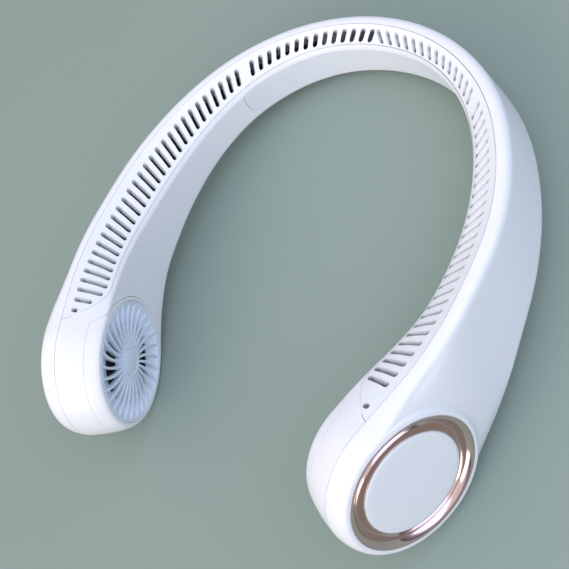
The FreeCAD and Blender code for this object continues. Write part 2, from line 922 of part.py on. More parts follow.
def trim_ring(label):
    """Ring with a gutter in two rolls between its lip and the collar round the disc."""
    collar = "disc_radius + fit"
    collar_top = "disc_sink + disc_edge"
    body = turned_body(label, [
        ("ring_radius", "0"),
        ("ring_radius", "ring_depth"),
        ("ring_hole", "ring_depth"),
        ("ring_hole", SEAT),
        (collar, SEAT),
        (collar, collar_top),
        (collar + " + ring_collar", collar_top, "ring_curve", 1),
        ("ring_gutter", "ring_gutter_depth", "ring_curve", 1),
        ("ring_step", "ring_step_depth", "ring_curve", -1),
        ("ring_radius - ring_lip", "0"),
    ])
    bite = "screw_length - mount_thickness - seat_thickness + fit"
    hole = hole_into(body, label + "_hole", "screw_hole", "screw_circle", bite, "ring_depth")
    repeat_around(body, hole, "mount_screws")
    return body


def cap_disc(label):
    """Flat cap on a short skirt."""
    return turned_body(label, [
        ("0", "disc_sink"),
        ("disc_radius - disc_edge", "disc_sink", "disc_edge", 1),
        ("disc_radius", "disc_sink + disc_edge"),
        ("disc_radius", SEAT),
        ("disc_radius - disc_skirt", SEAT),
        ("disc_radius - disc_skirt", "disc_sink + disc_thickness"),
        ("0", "disc_sink + disc_thickness"),
    ])


def intake_grille(label):
    """Rim and hub joined by thin swirled spokes over two sloping collars."""
    top = GRILLE + " + grille_thickness"
    body = turned_body(label, [
        ("grille_radius - grille_rim", GRILLE),
        ("grille_radius", GRILLE),
        ("grille_radius", top),
        ("grille_radius - grille_rim", top),
    ])
    spoke = pad_into(body, label + "_spoke", [
        ("grille_root", "0", "grille_curve", -1),
        ("grille_tip", "0 - grille_lean"),
        ("grille_tip", "grille_spoke - grille_lean", "grille_curve", 1),
        ("grille_root", "grille_spoke"),
    ], "grille_thickness", GRILLE)
    repeat_around(body, spoke, "grille_spokes")
    for edge, end in (("grille_root", "collar_inner"), ("grille_tip", "collar_outer")):
        turn_into(body, f"{label}_{end}", [
            (edge, top + " - collar_sink"),
            (end, top + " - collar_drop"),
            (end, top + " - collar_drop - collar_thickness"),
            (edge, top + " - collar_sink - collar_thickness"),
        ])
    hub = turn_into(body, label + "_hub", [
        ("0", GRILLE),
        ("grille_hub", GRILLE),
        ("grille_hub", top),
        ("0", top),
    ])
    body.Tip = hub
    return body


def motor_mount(label):
    """Plate on the pod's seat with the tube that holds bush and stator."""
    tube_top = PLATE + " + tube_length"
    body = turned_body(label, [
        ("0", MOUNT),
        ("mount_radius", MOUNT),
        ("mount_radius", PLATE),
        ("tube_radius + shoulder", PLATE),
        ("tube_radius + shoulder", WHEEL),
        ("tube_radius", WHEEL),
        ("tube_radius", tube_top),
        ("bush_radius", tube_top),
        ("bush_radius", MOUNT + " + tube_floor"),
        ("0", MOUNT + " + tube_floor"),
    ])
    hole = hole_into(body, label + "_hole", "screw_hole", "screw_circle", "mount_thickness", PLATE)
    repeat_around(body, hole, "mount_screws")
    return body


def ring_body(label, inner, outer, low, high):
    return turned_body(label, [(inner, low), (outer, low), (outer, high), (inner, high)])


def motor_stator(label):
    """Laminated core with one coil on each tooth."""
    top = WHEEL + " + stator_height"
    body = ring_body(label, "tube_radius + glue_gap", "stator_core", WHEEL, top)
    tooth = pad_into(body, label + "_tooth", [
        ("stator_core - glue_gap", "0 - 0.5*tooth_width"),
        ("stator_radius", "0 - 0.5*tooth_width"),
        ("stator_radius", "0.5*tooth_width"),
        ("stator_core - glue_gap", "0.5*tooth_width"),
    ], "stator_height", WHEEL)
    repeat_around(body, tooth, "stator_teeth")
    coil = pad_into(body, label + "_coil", [
        ("winding_start", "0 - 0.5*winding_width"),
        ("winding_end", "0 - 0.5*winding_width"),
        ("winding_end", "0.5*winding_width"),
        ("winding_start", "0.5*winding_width"),
    ], "stator_height + 2*winding_margin", WHEEL + " - winding_margin")
    repeat_around(body, coil, "stator_teeth")
    return body


def impeller(label):
    """Blower wheel: cup over the motor, back plate, swept blades and a stiffening ring."""
    blades_from = WHEEL + " + wheel_plate"
    blades_to = blades_from + " + blade_height"
    body = turned_body(label, [
        (CUP_BORE, WHEEL),
        ("wheel_radius", WHEEL),
        ("wheel_radius", blades_from),
        (CUP_BORE + " + cup_wall", blades_from),
        (CUP_BORE + " + cup_wall", CUP + " + cup_end"),
        ("shaft_radius + glue_gap", CUP + " + cup_end"),
        ("shaft_radius + glue_gap", CUP),
        (CUP_BORE, CUP),
    ])
    blade = pad_into(body, label + "_blade", [
        ("blade_root", "0", "blade_curve", 1),
        ("blade_tip", "blade_lean"),
        ("blade_tip", "blade_lean + blade_thickness", "blade_curve", -1),
        ("blade_root", "blade_thickness"),
    ], "blade_height", blades_from)
    repeat_around(body, blade, "blades")
    ring = turn_into(body, label + "_ring", [
        ("wheel_radius - shroud_width", blades_to + " - wheel_plate"),
        ("wheel_radius", blades_to + " - wheel_plate"),
        ("wheel_radius", blades_to),
        ("wheel_radius - shroud_width", blades_to),
    ])
    body.Tip = ring
    return body


def pod_parts(side, name):
    """Everything on one pod's axis."""
    place = pod_frame(side)
    piece(trim_ring(f"trim_ring_{name}"), place)
    piece(cap_disc(f"cap_disc_{name}"), place)
    piece(intake_grille(f"intake_grille_{name}"), place)
    piece(motor_mount(f"motor_mount_{name}"), place)
    piece(ring_body(
        f"shaft_bush_{name}", "shaft_radius + running_fit", "bush_radius - glue_gap",
        MOUNT + " + tube_floor", PLATE + " + tube_length - bush_sink"), place)
    piece(motor_stator(f"motor_stator_{name}"), place)
    piece(ring_body(
        f"magnet_ring_{name}", MAGNET, MAGNET + " + magnet_thickness",
        WHEEL, WHEEL + " + stator_height"), place)
    piece(impeller(f"impeller_{name}"), place)
    piece(turned_body(f"motor_shaft_{name}", [
        ("0", MOUNT + " + tube_floor + bush_sink"),
        ("shaft_radius", MOUNT + " + tube_floor + bush_sink"),
        ("shaft_radius", CUP + " + cup_end"),
        ("0", CUP + " + cup_end"),
    ]), place)
    piece(screw_group(f"mount_screws_{name}", screw_places()), place)


def screw_places():
    """Places of the mount screws on a pod's axis, heads towards the impeller."""
    count = int(size("mount_screws"))
    spots = []
    for index in range(count):
        angle = 2 * math.pi * index / count
        across = size("screw_circle")
        spots.append(Vector(across * math.cos(angle), across * math.sin(angle), total(PLATE)))
    return [FreeCAD.Placement(point, FreeCAD.Rotation()) for point in spots]


def mount_screw_holes(side):
    """Clearance holes for the mount screws through the pod's seat."""
    holes = []
    for place in screw_places():
        low = Vector(place.Base.x, place.Base.y, size("ring_depth") - size("fit"))
        rod = Part.makeCylinder(size("screw_hole"), total("seat_thickness + 2*fit"), low)
        holes.append(placed(rod, pod_frame(side)))
    return holes


# Two screws behind the nape panel: the inner shell's boss sits on the outer shell's boss.
boss_runs = (-size("screw_run"), size("screw_run"))
boss_height = -size("screw_drop")


def band_rod(run, height, radius, low, high):
    """Rod across the band between two reaches."""
    return Part.makeCylinder(radius, high - low, spot(run, low, height), frame(run)[1])


def boss_face(run):
    return total("wall + boss_length") - inner_reach(run)


def screw_seat(run):
    return boss_face(run) - size("screw_head")


# Control board in the left arm, parallel to the arm's bottom, with what is soldered to it
board_run = -size("board_run")
board_place = low_frame(board_run, -size("board_reach"), total("wall + board_lift + 0.5*board_height"))
socket_reach = total("0.5*board_thickness + 0.5*socket_height - board_reach")
socket_place = low_frame(board_run, socket_reach, total("socket_inset + 0.5*socket_length"))


def off_board(along, out, rise):
    """Placement that faces outwards from the board's middle plane: +X along the board, +Z outwards."""
    turn = FreeCAD.Rotation(Vector(1, 0, 0), -90)
    return board_place.multiply(FreeCAD.Placement(Vector(along, out, rise), turn))


def socket_block(grown, below):
    """Outline of the charging socket along its axis, grown all round and run out below."""
    low = -size("socket_length") / 2 - below
    high = size("socket_length") / 2 + grown
    solid = stadium(size("socket_width") + 2 * grown, size("socket_height") + 2 * grown, high - low)
    solid.Placement = FreeCAD.Placement(Vector(0, 0, low), FreeCAD.Rotation())
    return placed(solid, socket_place)


def usb_socket():
    """Charging socket: a drawn tube with the contact tongue in its mouth."""
    mouth_depth = size("socket_mouth")
    width = total("socket_width - 2*socket_wall")
    mouth = stadium(width, total("socket_height - 2*socket_wall"), mouth_depth)
    tongue = stadium(size("tongue_width"), size("tongue_thickness"), mouth_depth)
    cavity = mouth.cut(tongue)
    cavity.Placement = FreeCAD.Placement(Vector(0, 0, -size("socket_length") / 2), FreeCAD.Rotation())
    return socket_block(0.0, 0.0).cut(placed(cavity, socket_place))


def button_block(grown, low, high):
    """Stadium across the outer wall, between two heights over its outer face."""
    solid = stadium(size("button_length") + 2 * grown, size("button_width") + 2 * grown, high - low)
    place = off_board(size("button_along"), total("board_reach + band_outer"), size("button_rise"))
    return placed(solid, place.multiply(FreeCAD.Placement(Vector(0, 0, low), FreeCAD.Rotation())))


flange_top = -total("wall + seat_gap")
flange_bottom = flange_top - size("button_flange")


def power_button():
    stem = button_block(0.0, flange_top, size("button_proud"))
    return stem.fuse(button_block(size("button_flange"), flange_bottom, flange_top))


def push_switch(label):
    """Switch on the board with a tall plunger under the button."""
    body = new_body(label)
    pad_into(body, label + "_case", block("switch_size", "switch_size"), "switch_height")
    sketch = sketch_in(body, label + "_plunger_outline", "XY_Plane", "switch_height")
    sketch.addGeometry(Part.Circle(Vector(), Vector(0, 0, 1), size("plunger_radius")), False)
    sketch.addConstraint(Sketcher.Constraint("Coincident", 0, 3, -1, 1))
    number = sketch.addConstraint(Sketcher.Constraint("Radius", 0, size("plunger_radius")))
    sketch.setExpression(f"Constraints[{number}]", bound("plunger_radius"))
    plunger = body.newObject("PartDesign::Pad", label + "_plunger")
    plunger.Profile = sketch
    room = "board_reach + band_outer - 0.5*board_thickness - wall - seat_gap - button_flange"
    plunger.setExpression("Length", bound(room + " - button_travel - fit - switch_height"))
    return body


def light_rod(grown, low, high):
    """Rod of the status light, between two reaches from the board's middle plane."""
    place = off_board(size("light_along"), low, size("button_rise"))
    outward = place.Rotation.multVec(Vector(0, 0, 1))
    return Part.makeCylinder(size("light_radius") + grown, high - low, place.Base, outward)


def circuit_board(label):
    """Board on edge along the arm, with a chip and a coil on its inner face."""
    body = new_body(label)
    pad_into(body, label + "_plate", block("board_thickness", "board_height"), "board_length",
             "0 - 0.5*board_length", "YZ_Plane")
    pad_into(body, label + "_chip", [
        ("0 - 0.5*board_thickness - chip_height", "0 - 0.5*chip_size"),
        ("0 - 0.5*board_thickness", "0 - 0.5*chip_size"),
        ("0 - 0.5*board_thickness", "0.5*chip_size"),
        ("0 - 0.5*board_thickness - chip_height", "0.5*chip_size"),
    ], "chip_size", "chip_start", "YZ_Plane")
    coil = pad_into(body, label + "_coil", [
        ("0 - 0.5*board_thickness - coil_height", "0 - 0.5*coil_size"),
        ("0 - 0.5*board_thickness", "0 - 0.5*coil_size"),
        ("0 - 0.5*board_thickness", "0.5*coil_size"),
        ("0 - 0.5*board_thickness - coil_height", "0.5*coil_size"),
    ], "coil_size", "0 - chip_start - coil_size", "YZ_Plane")
    body.Tip = coil
    return body


def battery(label):
    body = new_body(label)
    outline = rounded("cell_thickness", "cell_height", "cell_corner")
    pad_into(body, label + "_pouch", outline, "cell_length", "0 - 0.5*cell_length", "YZ_Plane")
    return body


def duct_floor(side):
    """Partition under the slots that parts the air from the cells."""
    low = -total("floor_drop + floor_thickness")
    high = -size("floor_drop")
    gap = size("seat_gap")

    def corners(run):
        inner = gap - inner_room(run)
        outer = outer_room(run) - gap
        return [(inner, high), (outer, high), (outer, low), (inner, low)]
    end = pod_run - pod_radius - size("floor_stop")
    return quad_loft([side * run for run in evenly(size("floor_run"), end, STEPS)], corners)


LEAD_POINTS = 14
LEAD_SWING = 0.6


def lead_end(side):
    """End of a lead at the rim of a motor mount."""
    reach = size("pod_outer") - total(MOUNT + " + 0.5*mount_thickness")
    return spot(side * (pod_run - size("mount_radius") - size("seat_gap")), reach, -pod_radius)


def board_point(along):
    """Middle of a lead beside the board's outer face."""
    return board_place.multVec(Vector(along, total("0.5*board_thickness + lead_radius + fit"), 0))


def long_lead():
    """From the board's rear end round the back to the right motor, outside the cells."""
    reach, drop = size("lead_reach"), size("lead_drop")
    bend = size("lead_bend")
    edge = size("board_length") / 2
    points = [board_point(edge - bend / 2), board_point(edge + bend / 2)]
    start = board_run + edge + 1.5 * bend
    points.append(spot(start, reach, -drop - bend / 2))
    far = pod_run - 2 * pod_radius
    points += [spot(run, reach, -drop) for run in evenly(start + 2 * bend, far, LEAD_POINTS)]
    points.append(spot(far + LEAD_SWING * pod_radius, reach / 2, -(drop + pod_radius) / 2))
    points.append(lead_end(1))
    return tube_along(points, size("lead_radius"))


def short_lead():
    """From the board's front end to the left motor."""
    bend = size("lead_bend")
    edge = size("board_length") / 2
    end = lead_end(-1)
    points = [board_point(bend / 2 - edge), board_point(-bend / 2 - edge)]
    points.append((points[-1] + end) / 2 + Vector(0, 0, size("lead_lift")))
    points.append(end)
    return tube_along(points, size("lead_radius"))


inside = hollow()
outer_half = half_band(outer_curve, size("seam") / 2, 360)
inner_half = half_band(inner_curve, -size("seam") / 2, 180)
inner_walls = inner_half.cut(inside)
slots = Part.makeCompound([slot_cutter(run) for run in slot_runs()])
strip = inner_walls.common(strip_zone(size("seam"))).cut(slots)
core = inner_core()
panel = inner_half.common(panel_zone(size("seam"))).cut(core)
panel_recess = inner_half.common(panel_zone(0.0)).cut(core)

outer_cuts = [button_block(size("slide_fit"), -ABOVE, ABOVE)]
outer_cuts.append(light_rod(size("fit"), size("board_reach"), total("board_reach + band_outer + wall")))
inner_cuts = [strip_zone(0.0), trough_zone(), panel_recess, socket_block(size("fit"), wall)]
outer_bosses = []
inner_bosses = []
for run in boss_runs:
    face = boss_face(run)
    boss = size("boss_radius")
    hole = size("screw_hole")
    pocket = total("screw_head_radius + fit")
    shank_end = screw_seat(run) + total("screw_length + 2*fit")
    boss_end = outer_room(run) + wall / 2
    outer_bosses.append(band_rod(run, boss_height, boss, face + size("fit"), boss_end))
    inner_bosses.append(band_rod(run, boss_height, boss, -inner_room(run) - wall / 4, face))
    outer_cuts.append(band_rod(run, boss_height, hole, face - wall, shank_end))
    inner_cuts.append(band_rod(run, boss_height, hole, face - wall, face + wall))
    inner_cuts.append(band_rod(run, boss_height, pocket, -inner_reach(run) - wall, screw_seat(run)))
for side, name in ((-1, "left"), (1, "right")):
    face = total(GRILLE + " + grille_thickness")
    bore = total("grille_radius + fit")
    cover = inner_walls.common(cover_zone(side, size("seam")))
    cover = cover.cut([
        pod_cylinder(side, bore, total(GRILLE), face + ABOVE),
        pod_cylinder(side, bore - size("ledge_width"), total(GRILLE) - ABOVE, face),
    ])
    piece(feature(f"pod_cover_{name}", cover))
    inner_cuts.append(cover_zone(side, 0.0))
    bore = total("ring_radius + fit")
    seat = size("ring_depth")
    outer_cuts.append(pod_cylinder(side, bore, -ABOVE, seat))
    outer_cuts.append(pod_cylinder(side, bore - size("seat_width"), seat - wall, seat + ABOVE))
    outer_cuts.append(pod_cylinder(side, total("mount_radius + seat_gap"), total(MOUNT), total(WHEEL)))
    outer_cuts += mount_screw_holes(side)
outer_shell = outer_half.cut(inside).fuse(outer_bosses).cut(outer_cuts)
inner_shell = inner_walls.fuse(inner_bosses).cut(inner_cuts)
piece(feature("outer_shell", outer_shell))
piece(feature("inner_shell", inner_shell))
piece(feature("vent_strip", strip))
piece(feature("neck_panel", panel))
for side, name in ((-1, "left"), (1, "right")):
    pod_parts(side, name)
    piece(feature(f"duct_floor_{name}", duct_floor(side)))
    cell_height = -total("floor_drop + floor_thickness + seat_gap + 0.5*cell_height")
    cell_place = band_frame(side * size("cell_run"), -size("cell_reach"), cell_height)
    piece(battery(f"battery_{name}"), cell_place)
piece(circuit_board("circuit_board"), board_place)
piece(feature("usb_socket", usb_socket()))
switch_place = off_board(size("button_along"), total("0.5*board_thickness"), size("button_rise"))
piece(push_switch("push_switch"), switch_place)
piece(feature("power_button", power_button()))
light = light_rod(0.0, total("0.5*board_thickness + fit"), total("board_reach + band_outer - fit"))
piece(feature("status_light", light))
piece(feature("wire_loom_right", long_lead()))
piece(feature("wire_loom_left", short_lead()))
seats = []
for run in boss_runs:
    turn = FreeCAD.Rotation(Vector(0, 0, 1), frame(run)[1] * -1)
    seats.append(FreeCAD.Placement(spot(run, screw_seat(run), boss_height), turn))
piece(screw_group("case_screws", seats))
doc.recompute()


FINENESS = 0.2
HALVINGS = 40


def resting():
    """Placement that lays the part on both pods and the back of the band, over the origin."""
    points = []
    for label in ("outer_shell", "inner_shell", "pod_cover_left", "pod_cover_right"):
        points += PIECES[label][0].Shape.tessellate(FINENESS)[0]
    back = [point for point in points if point.y > spot(pod_run / 2, 0, 0).y]
    front = [point for point in points if point.y < spot(pod_run / 2, 0, 0).y]

    def lowest(group, tilt):
        return min(point.z * math.cos(tilt) + point.y * math.sin(tilt) for point in group)
    low, high = -math.pi / 4, 0.0
    for step in range(HALVINGS):
        tilt = (low + high) / 2
        if lowest(back, tilt) > lowest(front, tilt):
            high = tilt
        else:
            low = tilt
    turn = FreeCAD.Placement(Vector(), FreeCAD.Rotation(Vector(1, 0, 0), math.degrees(tilt)))
    spots = [turn.multVec(point) for point in points]
    middle = (min(point.y for point in spots) + max(point.y for point in spots)) / 2
    floor = min(point.z for point in spots)
    return FreeCAD.Placement(Vector(0, -middle, -floor), turn.Rotation)


rest = resting()
for item, placement in PIECES.values():
    item.Placement = rest.multiply(placement)
doc.recompute()

faults = [item.Name for item in doc.Objects if "Invalid" in item.State or "Error" in item.State]
for label, (item, placement) in PIECES.items():
    if item.Shape.isNull() or not item.Shape.isValid():
        faults.append(label)
if faults:
    raise RuntimeError("failed: " + ", ".join(faults))

os.makedirs("parts", exist_ok=True)
for label, (item, placement) in PIECES.items():
    item.Shape.exportStep(f"parts/{label}.step")
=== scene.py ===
import json
import math

import bpy
from mathutils import Matrix, Vector


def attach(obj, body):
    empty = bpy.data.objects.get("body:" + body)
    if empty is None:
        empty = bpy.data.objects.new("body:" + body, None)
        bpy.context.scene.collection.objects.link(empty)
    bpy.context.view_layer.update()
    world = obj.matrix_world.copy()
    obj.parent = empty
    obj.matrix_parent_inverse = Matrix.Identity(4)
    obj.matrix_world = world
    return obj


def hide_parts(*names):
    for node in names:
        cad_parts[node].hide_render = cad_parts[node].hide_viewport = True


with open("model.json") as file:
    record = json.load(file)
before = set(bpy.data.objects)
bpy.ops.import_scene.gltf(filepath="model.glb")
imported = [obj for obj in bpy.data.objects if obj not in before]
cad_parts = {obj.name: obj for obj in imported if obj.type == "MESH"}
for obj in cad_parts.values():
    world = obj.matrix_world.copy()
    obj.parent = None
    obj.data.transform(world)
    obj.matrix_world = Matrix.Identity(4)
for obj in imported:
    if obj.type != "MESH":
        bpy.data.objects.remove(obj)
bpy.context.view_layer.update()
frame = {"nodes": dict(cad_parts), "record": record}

# Casing: an outer and an inner half and two pod covers, moulded from white ABS with a
# satin polish. The halves meet on the ridge, and screws under the nape panel hold them.
MM = 0.001


class Wire:
    """An output socket of a material. Sums on it add Math nodes."""

    def __init__(self, tree, socket):
        self.tree = tree
        self.socket = socket

    def node(self, kind, settings, sockets, out=0):
        """A new node: its settings first, then the values or links of its sockets."""
        made = self.tree.nodes.new("ShaderNode" + kind)
        for key, value in settings.items():
            if key == "stops":
                stops = made.color_ramp.elements
                while len(stops) < len(value):
                    stops.new(1.0)
                for stop, (position, colour) in zip(stops, value):
                    stop.position = position
                    stop.color = colour
            else:
                setattr(made, key, value)
        for key, value in sockets.items():
            if isinstance(value, Wire):
                self.tree.links.new(value.socket, made.inputs[key])
            else:
                made.inputs[key].default_value = value
        return Wire(self.tree, made.outputs[out])

    def sum(self, operation, first, second):
        return self.node("Math", {"operation": operation}, {0: first, 1: second})

    def __add__(self, other):
        return self.sum("ADD", self, other)

    def __radd__(self, other):
        return self.sum("ADD", other, self)

    def __sub__(self, other):
        return self.sum("SUBTRACT", self, other)

    def __rsub__(self, other):
        return self.sum("SUBTRACT", other, self)

    def __mul__(self, other):
        return self.sum("MULTIPLY", self, other)

    def __rmul__(self, other):
        return self.sum("MULTIPLY", other, self)

    def into(self, shader, name):
        self.tree.links.new(self.socket, shader.inputs[name])


def paint(red, green, blue):
    """Colour from a paint chart's 0-255 values, as the shader's linear colour."""
    def linear(value):
        part = value / 255
        return part / 12.92 if part <= 0.04045 else ((part + 0.055) / 1.055) ** 2.4
    return (linear(red), linear(green), linear(blue), 1.0)


def finish(name, **even):
    """Material with its even values set on the shader, its shader and the place on the piece."""
    material = bpy.data.materials.new(name)
    material.use_nodes = True
    tree = material.node_tree
    shader = tree.nodes["Principled BSDF"]
    for socket, value in even.items():
        shader.inputs[socket.replace("_", " ")].default_value = value
    place = Wire(tree, tree.nodes.new("ShaderNodeTexCoord").outputs["Object"])
    return material, shader, place


def cloud(place, scale, detail=2.0):
    """Soft noise over the piece, its grain 1/scale metres wide."""
    return place.node("TexNoise", {}, {"Vector": place, "Scale": scale, "Detail": detail})


def blend(share, first, second):
    """Two colours mixed by a share that changes over the piece."""
    return share.node("Mix", {"data_type": "RGBA"}, {0: share, 6: first, 7: second}, 2)


def relief(height, strength, distance):
    """Fine relief of the surface, as a normal."""
    return height.node("Bump", {}, {"Height": height, "Strength": strength, "Distance": distance}, "Normal")


def moulded(name, light, dark, gloss, grain, **even):
    """Moulded plastic: a faint drift of colour, an uneven polish and a fine orange peel."""
    material, shader, place = finish(name, **even)
    blend(cloud(place, 14.0), light, dark).into(shader, "Base Color")
    (cloud(place, 16.0, 0.0) * 0.04 + gloss).into(shader, "Roughness")
    relief(cloud(place, 1900.0), grain, 0.02 * MM).into(shader, "Normal")
    return material


def dress(material, *names):
    """Gives CAD nodes their finished material."""
    for name in names:
        coats = frame["nodes"][name].data.materials
        coats.clear()
        coats.append(material)


SIDES = ("left", "right")
WHITE = paint(251, 249, 253)
shell_finish = moulded("shell_white_abs", WHITE, paint(246, 244, 251), 0.29, 0.10, Coat_Weight=0.25,
                       Coat_Roughness=0.12)
dress(shell_finish, "outer_shell", "inner_shell", "pod_cover_left", "pod_cover_right")

# Vent strip: the slotted inlay on top of the band, moulded from the same white ABS with
# a finer satin surface, and set into the inner half between two hairline seams. Its slots
# lean, and their walls carry painted shade: dark grey, deeper where the surface is enclosed.
strip_finish, shader, place = finish("strip_white_abs", Coat_Weight=0.12, Coat_Roughness=0.2)
openness = place.node("AmbientOcclusion", {"samples": 8, "only_local": True}, {"Distance": 2.5 * MM}, "AO")
# Painted shade in the slots: the more enclosed a wall is, the further its white goes towards dark grey.
painted_slot_shade = place.node("MapRange", {}, {
    "Value": openness, "From Min": 0.38, "From Max": 0.84, "To Min": 1.0, "To Max": 0.0})
polished = blend(cloud(place, 14.0), paint(248, 248, 250), paint(241, 242, 247))
# The polished white is mixed with the dark grey of the painted shade in the slots.
blend(painted_slot_shade, polished, paint(74, 75, 80)).into(shader, "Base Color")
(cloud(place, 16.0, 0.0) * 0.04 + painted_slot_shade * 0.3 + 0.32).into(shader, "Roughness")
relief(cloud(place, 1900.0), 0.14, 0.02 * MM).into(shader, "Normal")
dress(strip_finish, "vent_strip")

# Nape panel: a thin white cover glued over the screw pockets in the inner wall.
# It is satin ABS with a soft-touch lacquer, a little duller than the shell.
panel_finish = moulded("panel_soft_white", paint(246, 246, 251), paint(238, 239, 247), 0.38, 0.16)
dress(panel_finish, "neck_panel")

# Air partitions: dark grey moulded floors in both arms, which keep the air of the
# slots away from the cells and the board. They are held between the two halves.
floor_finish = moulded("partition_grey", paint(58, 60, 66), paint(48, 50, 56), 0.5, 0.3)
dress(floor_finish, "duct_floor_left", "duct_floor_right")

# Cells: flat pouch cells in the arms under the partitions, wrapped in silver foil
# with a blue film. The foil has shallow creases from its folded edges.
cell_finish, shader, place = finish("cell_foil", Metallic=0.85)
creases = cloud(place, 160.0, 6.0)
blend(creases, paint(186, 196, 210), paint(96, 130, 176)).into(shader, "Base Color")
(creases * 0.25 + 0.2).into(shader, "Roughness")
relief(creases, 0.5, 0.3 * MM).into(shader, "Normal")
dress(cell_finish, "battery_left", "battery_right")

# Control board: green glass-epoxy with tinned tracks under its solder mask, its chip and
# coil soldered on top. It stands on edge in the left arm.
board_finish, shader, place = finish("board_green")
tracks = place.node("TexBrick", {"offset": 0.35}, {
    "Vector": place, "Color1": (0, 0, 0, 1), "Color2": (0.25, 0.25, 0.25, 1), "Mortar": (1, 1, 1, 1),
    "Scale": 420.0, "Mortar Size": 0.06, "Brick Width": 0.9, "Row Height": 0.4}, "Fac")
blend(tracks, paint(22, 92, 58), paint(70, 140, 96)).into(shader, "Base Color")
(0.4 - tracks * 0.15).into(shader, "Roughness")
relief(tracks, 0.4, 0.04 * MM).into(shader, "Normal")
dress(board_finish, "circuit_board")

# Charging socket: a folded steel shell round the contacts, soldered to the board's edge.
# It opens downwards through the bottom of the left arm.
socket_finish, shader, place = finish("socket_steel", Metallic=1.0)
lines = place.node("TexNoise", {}, {
    "Vector": place.node("Mapping", {}, {"Vector": place, "Scale": (2600.0, 2600.0, 60.0)}),
    "Scale": 1.0, "Detail": 3.0})
blend(lines, paint(196, 198, 202), paint(150, 152, 158)).into(shader, "Base Color")
(lines * 0.2 + 0.22).into(shader, "Roughness")
relief(lines, 0.12, 0.02 * MM).into(shader, "Normal")
dress(socket_finish, "usb_socket")

# Push switch: a small black tact switch on the board behind the button, of matt
# glass-filled nylon.
switch_finish = moulded("switch_black", paint(30, 31, 34), paint(20, 20, 23), 0.45, 0.5)
dress(switch_finish, "push_switch")

# Power button: a white oval key in the outer wall of the left arm, which slides in its
# guide and presses the switch.
button_finish = moulded("button_white_abs", paint(247, 247, 250), paint(239, 240, 246), 0.3, 0.2,
                        Coat_Weight=0.15)
dress(button_finish, "power_button")

# Light window: a clear rod from the board's lamp to the outer wall, frosted on its face.
# It is moulded from acrylic and pushed into its hole beside the button.
light_finish, shader, place = finish("light_window", Transmission_Weight=0.35, IOR=1.49)
frost = cloud(place, 3000.0)
blend(frost, paint(232, 240, 250), paint(206, 222, 244)).into(shader, "Base Color")
(frost * 0.2 + 0.3).into(shader, "Roughness")
relief(frost, 0.2, 0.02 * MM).into(shader, "Normal")
dress(light_finish, "status_light")

# Leads: a pair of cores in soft black rubber from the board to each motor, pressed
# into the bottom of the casing.
lead_finish = moulded("lead_rubber", paint(34, 34, 36), paint(24, 24, 26), 0.55, 0.6)
dress(lead_finish, "wire_loom_left", "wire_loom_right")

# Motor mounts: grey plates of glass-filled nylon with the bearing tubes, screwed onto
# the rings through the outer half.
mount_finish = moulded("mount_nylon", paint(158, 160, 166), paint(140, 142, 150), 0.48, 0.5)
dress(mount_finish, "motor_mount_left", "motor_mount_right")

# Shaft bushes: sintered bronze sleeves, with open pores that hold the oil.
# They are pressed into the bearing tubes of the motor mounts.
bush_finish, shader, place = finish("bronze_bush", Metallic=1.0)
pores = place.node("TexVoronoi", {}, {"Vector": place, "Scale": 5200.0}, "Distance")
blend(pores, paint(112, 78, 42), paint(176, 132, 78)).into(shader, "Base Color")
(0.55 - pores * 0.2).into(shader, "Roughness")
relief(pores, 0.5, 0.03 * MM).into(shader, "Normal")
dress(bush_finish, "shaft_bush_left", "shaft_bush_right")

# Shafts and screws: ground steel shafts pressed into the impellers, and zinc-plated
# thread-forming screws for the mounts and the casing.
steel_finish, shader, place = finish("bright_steel", Metallic=1.0)
scratches = cloud(place, 2600.0, 5.0)
blend(scratches, paint(206, 207, 210), paint(164, 166, 172)).into(shader, "Base Color")
(scratches * 0.22 + 0.16).into(shader, "Roughness")
relief(scratches, 0.15, 0.02 * MM).into(shader, "Normal")
dress(steel_finish, "motor_shaft_left", "motor_shaft_right", "mount_screws_left", "mount_screws_right",
      "case_screws")

# Stators: laminated cores with enamelled copper wire on nine teeth, glued onto the
# bearing tubes.
winding_finish, shader, place = finish("copper_winding", Metallic=0.9)
turns = place.node("TexWave", {"wave_type": "BANDS", "bands_direction": "DIAGONAL"}, {
    "Vector": place, "Scale": 1400.0, "Distortion": 1.5, "Detail": 1.0}, "Fac")
blend(turns, paint(128, 64, 32), paint(206, 122, 68)).into(shader, "Base Color")
(0.42 - turns * 0.15).into(shader, "Roughness")
relief(turns, 0.6, 0.12 * MM).into(shader, "Normal")
dress(winding_finish, "motor_stator_left", "motor_stator_right")

# Magnet rings: bonded ferrite rings inside the impeller cups, dull grey and grainy.
# They are glued in and turn round the stators.
magnet_finish, shader, place = finish("bonded_ferrite", Metallic=0.4)
grains = place.node("TexVoronoi", {}, {"Vector": place, "Scale": 3400.0}, "Distance")
blend(grains, paint(46, 46, 50), paint(78, 78, 84)).into(shader, "Base Color")
(grains * 0.2 + 0.5).into(shader, "Roughness")
relief(grains, 0.4, 0.03 * MM).into(shader, "Normal")
dress(magnet_finish, "magnet_ring_left", "magnet_ring_right")

# Impellers: blower wheels in dark grey plastic, 28 blades between a plate and a
# shroud, pressed onto the shafts.
wheel_finish = moulded("impeller_plastic", paint(74, 77, 88), paint(62, 65, 76), 0.42, 0.3)
dress(wheel_finish, "impeller_left", "impeller_right")

# Trim rings: rose-gold rings round the discs on the outside of the pods, pressed from
# sheet brass as a gutter with a rolled lip, then polished and plated, with fine turned lines.
RING_OUTSIDE = 8.3 * MM
ROUND = 160
joints = {joint["name"]: joint for joint in frame["record"]["behaviour"]["joints"]}
POD_AXIS = {side: Vector(joints[f"impeller_spin_{side}"]["axis"]) for side in SIDES}
POD_PLACE = {side: Vector(joints[f"impeller_spin_{side}"]["pos_m"]) - POD_AXIS[side] * RING_OUTSIDE
             for side in SIDES}


